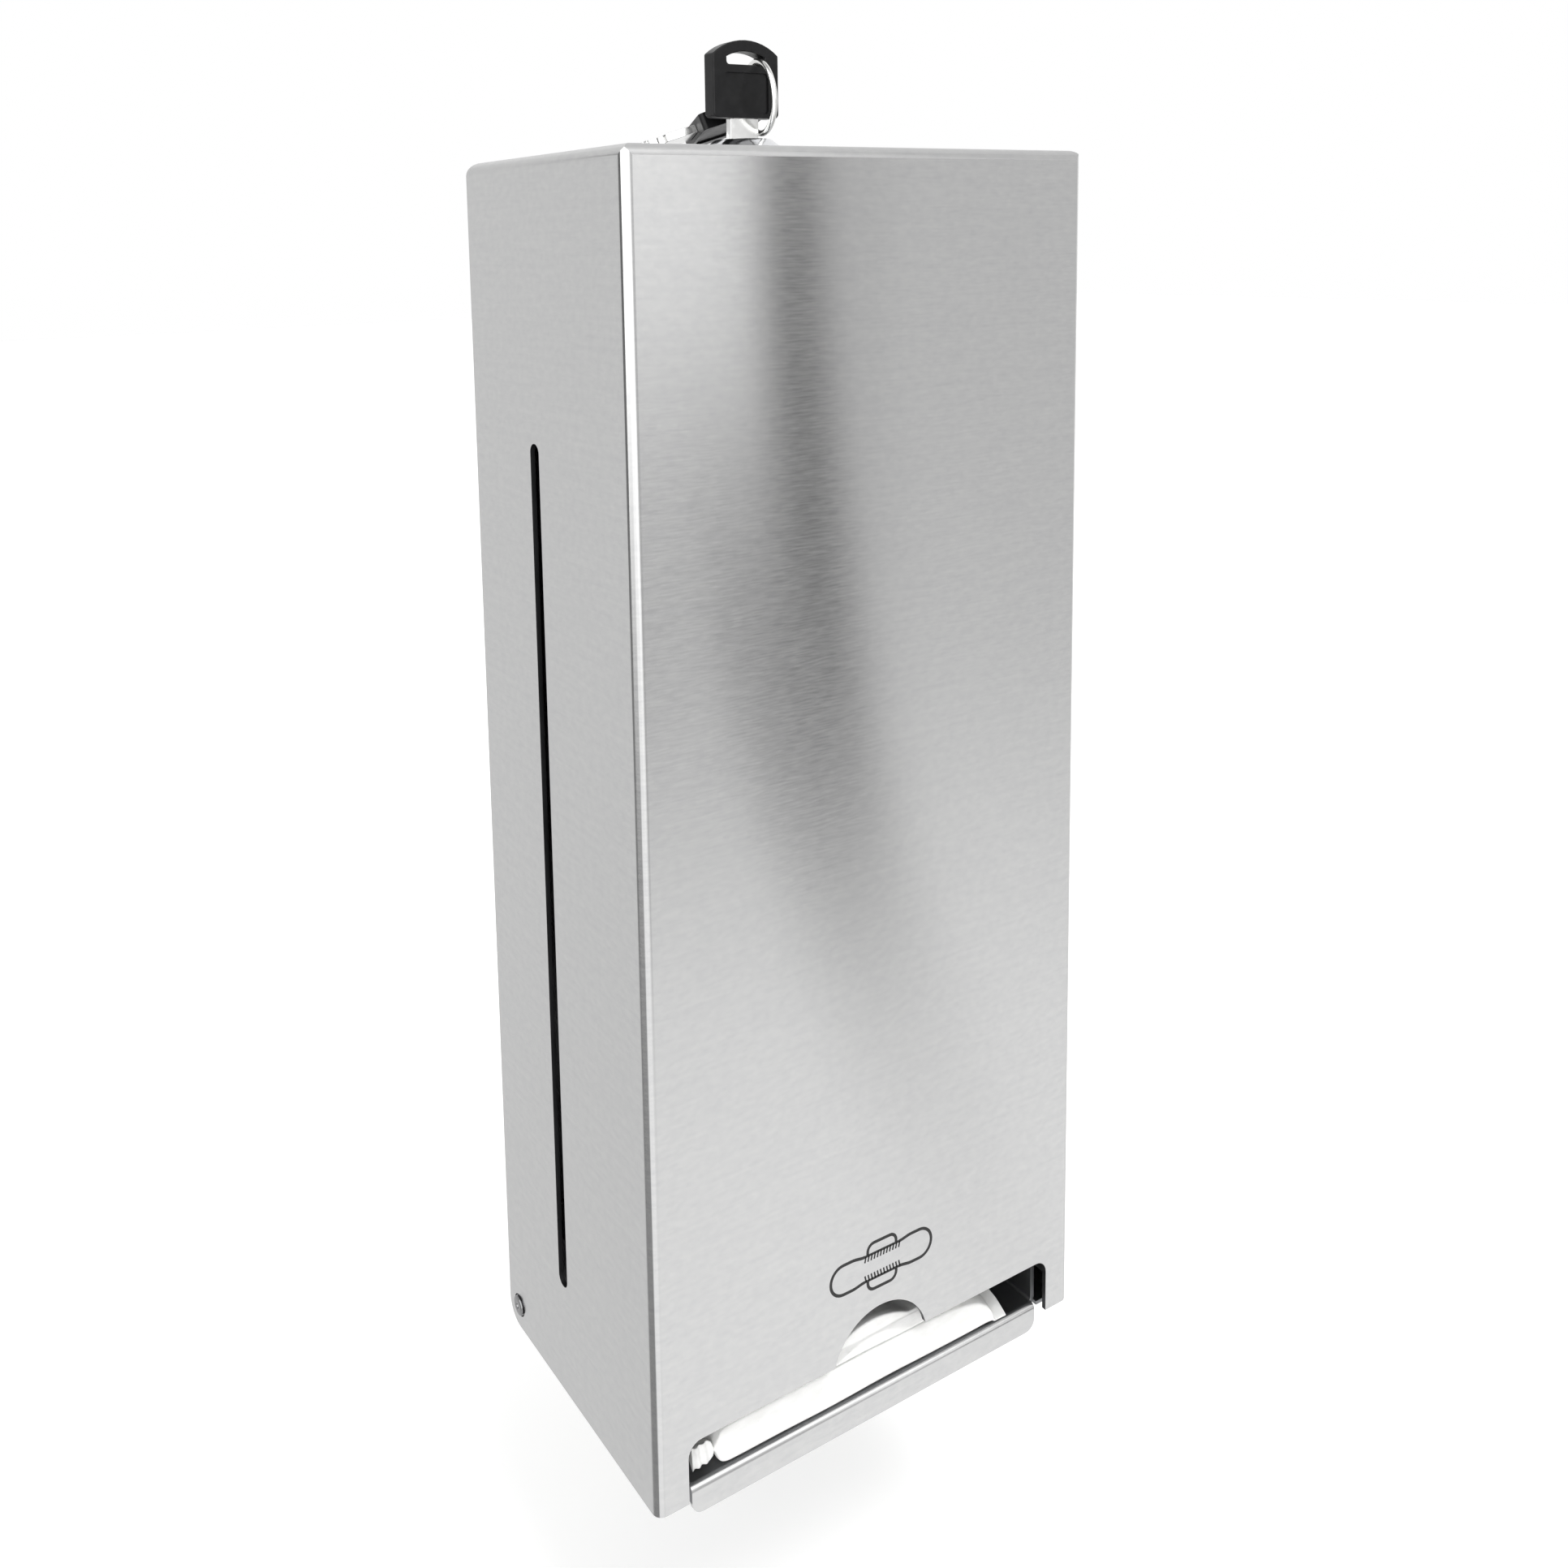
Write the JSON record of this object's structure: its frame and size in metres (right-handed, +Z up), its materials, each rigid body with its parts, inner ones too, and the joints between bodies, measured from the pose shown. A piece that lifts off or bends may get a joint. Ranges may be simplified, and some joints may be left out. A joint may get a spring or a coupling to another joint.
{
  "type": "wall-mounted sanitary pad dispenser",
  "caption": "Wall-mounted steel dispenser for wrapped sanitary pads, with a tilting cover, a slot at the foot to draw packs from, and a cam lock on top with its keys.",
  "frame": {"origin": "centre of the wall face: on the wall plane, on the cover's middle line, at half the cover's height", "axes": "+Z up, +Y towards the wall that it hangs on, +X to the right seen from the front"},
  "size_m": [0.1264, 0.076, 0.33],
  "materials": {
    "brushed_stainless": "brushed",
    "plain_stainless": "mill finish",
    "lock_chrome": "polished plate",
    "cam_steel": "zinc plate",
    "key_steel": "nickel plate",
    "key_moulding": "semi-matt moulding",
    "pack_film": "soft film"
  },
  "bodies": {
    "chassis": {"back_plate": "plain_stainless", "pad_tray": "brushed_stainless", "lock_strike": "plain_stainless", "hinge_pin_left": "plain_stainless", "hinge_pin_right": "plain_stainless", "wrapped_pad_2": "pack_film"},
    "cover": {"cover_shell": "brushed_stainless", "lock_housing": "lock_chrome", "lock_washer": "cam_steel", "lock_nut": "cam_steel"},
    "lock_rotor": {"lock_plug": "lock_chrome", "lock_cam": "cam_steel", "cam_washer": "cam_steel", "cam_screw": "cam_steel"},
    "key": {"key_blade": "key_steel", "key_head": "key_moulding"},
    "ring": {"key_ring": "lock_chrome"},
    "spare_key": {"spare_key_blade": "key_steel", "spare_key_head": "key_moulding"},
    "lowest_pad": {"wrapped_pad_1": "pack_film"}
  },
  "joints": [
    {"name": "cover_tilt", "type": "hinge", "parent": "chassis", "child": "cover", "pos_m": [0, -0.0066, -0.142], "axis": [1, 0, 0], "range_deg": [0, 90]},
    {"name": "plug_turn", "type": "hinge", "parent": "cover", "child": "lock_rotor", "pos_m": [0, -0.025, 0.14], "axis": [0, 0, -1], "range_deg": [0, 90]},
    {"name": "key_withdraw", "type": "slide", "parent": "lock_rotor", "child": "key", "axis": [0, 0, 1], "range_m": [0, 0.024]},
    {"name": "ring_turn", "type": "hinge", "parent": "key", "child": "ring", "pos_m": [0.00496, -0.02517, 0.16306], "axis": [0.9785, -0.1725, 0.1132], "range_deg": [0, 38]},
    {"name": "spare_swing", "type": "hinge", "parent": "ring", "child": "spare_key", "pos_m": [0.00668, -0.01717, 0.1604], "axis": [-0.2202, 0.2757, 0.9357], "range_deg": [-9, 9]},
    {"name": "pad_draw", "type": "slide", "parent": "chassis", "child": "lowest_pad", "axis": [0, -1, 0], "range_m": [0, 0.08]}
  ]
}
